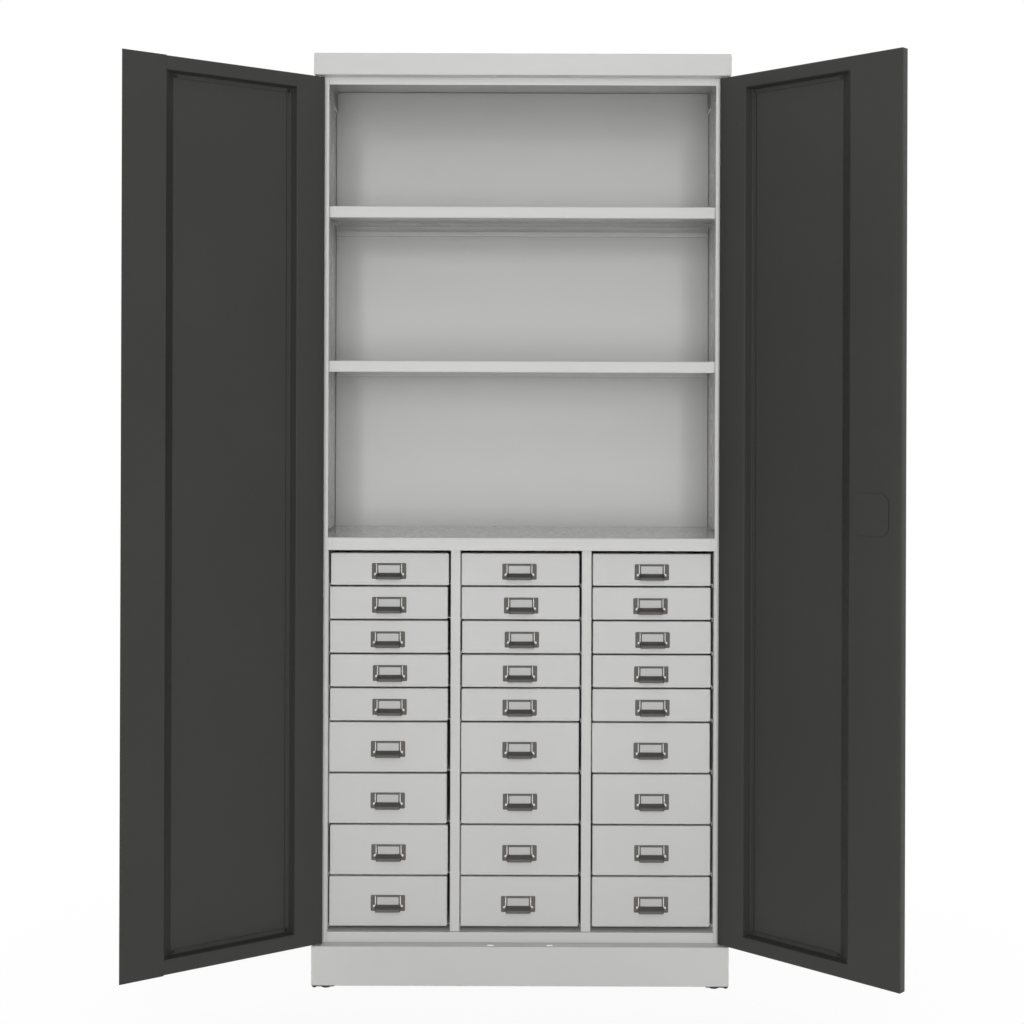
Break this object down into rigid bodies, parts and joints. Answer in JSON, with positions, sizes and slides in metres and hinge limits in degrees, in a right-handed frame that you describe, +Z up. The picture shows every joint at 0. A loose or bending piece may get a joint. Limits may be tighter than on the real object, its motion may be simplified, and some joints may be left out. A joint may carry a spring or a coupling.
{
  "type": "tool storage cabinet",
  "caption": "Upright steel tool cabinet with hinged double doors, open shelves above and a bank of small pull-out drawers with label-holder pulls below.",
  "frame": {"origin": "middle of the bounding box's footprint at rest, with the doors open as pictured, on the floor", "axes": "+X to the right seen from the front, +Y from the front to the back, +Z up"},
  "size_m": [1.4006, 0.6664, 1.8],
  "materials": {
    "body_paint": "light grey textured powder paint",
    "drawer_paint": "light grey textured powder paint",
    "door_paint": "charcoal grey satin powder paint",
    "foot_plastic": "matt black",
    "zinc_steel": "zinc plated",
    "pull_nickel": "dark nickel plated",
    "label_card": "off-white card",
    "handle_black": "satin black"
  },
  "bodies": {
    "cabinet": {"plinth": "body_paint", "top_cap": "body_paint", "floor_panel": "body_paint", "back_panel": "body_paint", "left_side_panel": "body_paint", "right_side_panel": "body_paint", "lower_shelf": "body_paint", "upper_shelf": "body_paint", "front_left_foot": "foot_plastic", "front_right_foot": "foot_plastic", "rear_left_foot": "foot_plastic", "rear_right_foot": "foot_plastic", "drawer_unit_top": "body_paint", "left_divider": "body_paint", "right_divider": "body_paint", "left_runner_panel": "body_paint", "right_runner_panel": "body_paint", "left_hinge_pin": "zinc_steel", "right_hinge_pin": "zinc_steel"},
    "left_door": {"left_door_skin": "door_paint", "left_door_hinge_stile": "door_paint", "left_door_free_stile": "door_paint", "left_door_top_rail": "door_paint", "left_door_bottom_rail": "door_paint"},
    "right_door": {"right_door_skin": "door_paint", "right_door_hinge_stile": "door_paint", "right_door_free_stile": "door_paint", "right_door_top_rail": "door_paint", "right_door_bottom_rail": "door_paint", "lock_cover_plate": "door_paint"},
    "lock_handle": {"door_handle": "handle_black"},
    "upper_rod": {"upper_lock_rod": "zinc_steel"},
    "lower_rod": {"lower_lock_rod": "zinc_steel"},
    "drawer_a1_body": {"drawer_a1": "drawer_paint"},
    "drawer_b1_body": {"drawer_b1": "drawer_paint"},
    "drawer_c1_body": {"drawer_c1": "drawer_paint"},
    "drawer_a2_body": {"drawer_a2": "drawer_paint"},
    "drawer_b2_body": {"drawer_b2": "drawer_paint"},
    "drawer_c2_body": {"drawer_c2": "drawer_paint"},
    "drawer_a3_body": {"drawer_a3": "drawer_paint"},
    "drawer_b3_body": {"drawer_b3": "drawer_paint"},
    "drawer_c3_body": {"drawer_c3": "drawer_paint"},
    "drawer_a4_body": {"drawer_a4": "drawer_paint"},
    "drawer_b4_body": {"drawer_b4": "drawer_paint"},
    "drawer_c4_body": {"drawer_c4": "drawer_paint"},
    "drawer_a5_body": {"drawer_a5": "drawer_paint"},
    "drawer_b5_body": {"drawer_b5": "drawer_paint"},
    "drawer_c5_body": {"drawer_c5": "drawer_paint"},
    "drawer_a6_body": {"drawer_a6": "drawer_paint"},
    "drawer_b6_body": {"drawer_b6": "drawer_paint"},
    "drawer_c6_body": {"drawer_c6": "drawer_paint"},
    "drawer_a7_body": {"drawer_a7": "drawer_paint"},
    "drawer_b7_body": {"drawer_b7": "drawer_paint"},
    "drawer_c7_body": {"drawer_c7": "drawer_paint"},
    "drawer_a8_body": {"drawer_a8": "drawer_paint"},
    "drawer_b8_body": {"drawer_b8": "drawer_paint"},
    "drawer_c8_body": {"drawer_c8": "drawer_paint"},
    "drawer_a9_body": {"drawer_a9": "drawer_paint"},
    "drawer_b9_body": {"drawer_b9": "drawer_paint"},
    "drawer_c9_body": {"drawer_c9": "drawer_paint"}
  },
  "joints": [
    {"name": "left_door_hinge", "type": "hinge", "parent": "cabinet", "child": "left_door", "pos_m": [-0.37592, -0.05577, 0.9195], "axis": [0, 0, -1], "range_deg": [-144.6, 35.4]},
    {"name": "right_door_hinge", "type": "hinge", "parent": "cabinet", "child": "right_door", "pos_m": [0.41008, -0.05577, 0.9195], "axis": [0, 0, 1], "range_deg": [-136.5, 43.5]},
    {"name": "handle_turn", "type": "hinge", "parent": "right_door", "child": "lock_handle", "pos_m": [0.6538, -0.28705, 0.927], "axis": [-0.6884, -0.7254, 0], "range_deg": [0, 90]},
    {"name": "upper_rod_slide", "type": "slide", "parent": "right_door", "child": "upper_rod", "axis": [0, 0, 1], "range_m": [0, 0.016]},
    {"name": "lower_rod_slide", "type": "slide", "parent": "right_door", "child": "lower_rod", "axis": [0, 0, -1], "range_m": [0, 0.016]},
    {"name": "drawer_a1_slide", "type": "slide", "parent": "cabinet", "child": "drawer_a1_body", "axis": [0, -1, 0], "range_m": [0, 0.28]},
    {"name": "drawer_b1_slide", "type": "slide", "parent": "cabinet", "child": "drawer_b1_body", "axis": [0, -1, 0], "range_m": [0, 0.28]},
    {"name": "drawer_c1_slide", "type": "slide", "parent": "cabinet", "child": "drawer_c1_body", "axis": [0, -1, 0], "range_m": [0, 0.28]},
    {"name": "drawer_a2_slide", "type": "slide", "parent": "cabinet", "child": "drawer_a2_body", "axis": [0, -1, 0], "range_m": [0, 0.28]},
    {"name": "drawer_b2_slide", "type": "slide", "parent": "cabinet", "child": "drawer_b2_body", "axis": [0, -1, 0], "range_m": [0, 0.28]},
    {"name": "drawer_c2_slide", "type": "slide", "parent": "cabinet", "child": "drawer_c2_body", "axis": [0, -1, 0], "range_m": [0, 0.28]},
    {"name": "drawer_a3_slide", "type": "slide", "parent": "cabinet", "child": "drawer_a3_body", "axis": [0, -1, 0], "range_m": [0, 0.28]},
    {"name": "drawer_b3_slide", "type": "slide", "parent": "cabinet", "child": "drawer_b3_body", "axis": [0, -1, 0], "range_m": [0, 0.28]},
    {"name": "drawer_c3_slide", "type": "slide", "parent": "cabinet", "child": "drawer_c3_body", "axis": [0, -1, 0], "range_m": [0, 0.28]},
    {"name": "drawer_a4_slide", "type": "slide", "parent": "cabinet", "child": "drawer_a4_body", "axis": [0, -1, 0], "range_m": [0, 0.28]},
    {"name": "drawer_b4_slide", "type": "slide", "parent": "cabinet", "child": "drawer_b4_body", "axis": [0, -1, 0], "range_m": [0, 0.28]},
    {"name": "drawer_c4_slide", "type": "slide", "parent": "cabinet", "child": "drawer_c4_body", "axis": [0, -1, 0], "range_m": [0, 0.28]},
    {"name": "drawer_a5_slide", "type": "slide", "parent": "cabinet", "child": "drawer_a5_body", "axis": [0, -1, 0], "range_m": [0, 0.28]},
    {"name": "drawer_b5_slide", "type": "slide", "parent": "cabinet", "child": "drawer_b5_body", "axis": [0, -1, 0], "range_m": [0, 0.28]},
    {"name": "drawer_c5_slide", "type": "slide", "parent": "cabinet", "child": "drawer_c5_body", "axis": [0, -1, 0], "range_m": [0, 0.28]},
    {"name": "drawer_a6_slide", "type": "slide", "parent": "cabinet", "child": "drawer_a6_body", "axis": [0, -1, 0], "range_m": [0, 0.28]},
    {"name": "drawer_b6_slide", "type": "slide", "parent": "cabinet", "child": "drawer_b6_body", "axis": [0, -1, 0], "range_m": [0, 0.28]},
    {"name": "drawer_c6_slide", "type": "slide", "parent": "cabinet", "child": "drawer_c6_body", "axis": [0, -1, 0], "range_m": [0, 0.28]},
    {"name": "drawer_a7_slide", "type": "slide", "parent": "cabinet", "child": "drawer_a7_body", "axis": [0, -1, 0], "range_m": [0, 0.28]},
    {"name": "drawer_b7_slide", "type": "slide", "parent": "cabinet", "child": "drawer_b7_body", "axis": [0, -1, 0], "range_m": [0, 0.28]},
    {"name": "drawer_c7_slide", "type": "slide", "parent": "cabinet", "child": "drawer_c7_body", "axis": [0, -1, 0], "range_m": [0, 0.28]},
    {"name": "drawer_a8_slide", "type": "slide", "parent": "cabinet", "child": "drawer_a8_body", "axis": [0, -1, 0], "range_m": [0, 0.28]},
    {"name": "drawer_b8_slide", "type": "slide", "parent": "cabinet", "child": "drawer_b8_body", "axis": [0, -1, 0], "range_m": [0, 0.28]},
    {"name": "drawer_c8_slide", "type": "slide", "parent": "cabinet", "child": "drawer_c8_body", "axis": [0, -1, 0], "range_m": [0, 0.28]},
    {"name": "drawer_a9_slide", "type": "slide", "parent": "cabinet", "child": "drawer_a9_body", "axis": [0, -1, 0], "range_m": [0, 0.28]},
    {"name": "drawer_b9_slide", "type": "slide", "parent": "cabinet", "child": "drawer_b9_body", "axis": [0, -1, 0], "range_m": [0, 0.28]},
    {"name": "drawer_c9_slide", "type": "slide", "parent": "cabinet", "child": "drawer_c9_body", "axis": [0, -1, 0], "range_m": [0, 0.28]}
  ],
  "couplings": [
    {"joint": "upper_rod_slide", "follows": "handle_turn", "m_per_rad": 0.01018},
    {"joint": "lower_rod_slide", "follows": "handle_turn", "m_per_rad": 0.01018}
  ]
}
